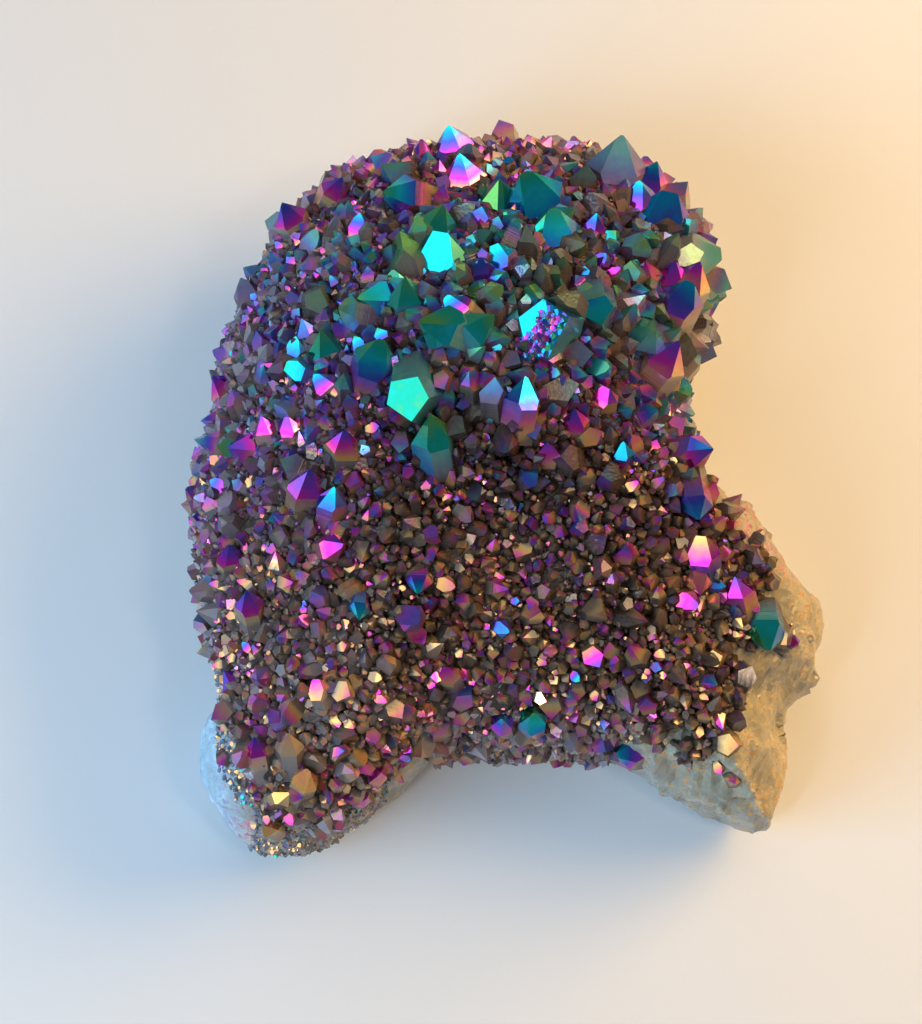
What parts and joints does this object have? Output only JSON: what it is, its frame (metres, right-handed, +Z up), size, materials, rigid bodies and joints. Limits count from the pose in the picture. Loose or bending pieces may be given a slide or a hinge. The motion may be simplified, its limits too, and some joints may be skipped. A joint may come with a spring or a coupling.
{
  "type": "aura quartz cluster",
  "caption": "Domed cluster of metal-coated quartz crystals grown together on a broken matrix plate, resting on a flat cut.",
  "frame": {"origin": "the middle of the flat cut under the cluster, where it rests", "axes": "+Z up, away from the surface it rests on; +Y from the front lobes to the back edge, along its length; +X to its right"},
  "size_m": [0.0754, 0.0883, 0.0332],
  "materials": {
    "aura_quartz": "smoky quartz crystals under a thin rainbow metal film, glossy, from gold and magenta through violet to teal"
  },
  "bodies": {
    "root": {"quartz_cluster": "aura_quartz"}
  },
  "joints": []
}
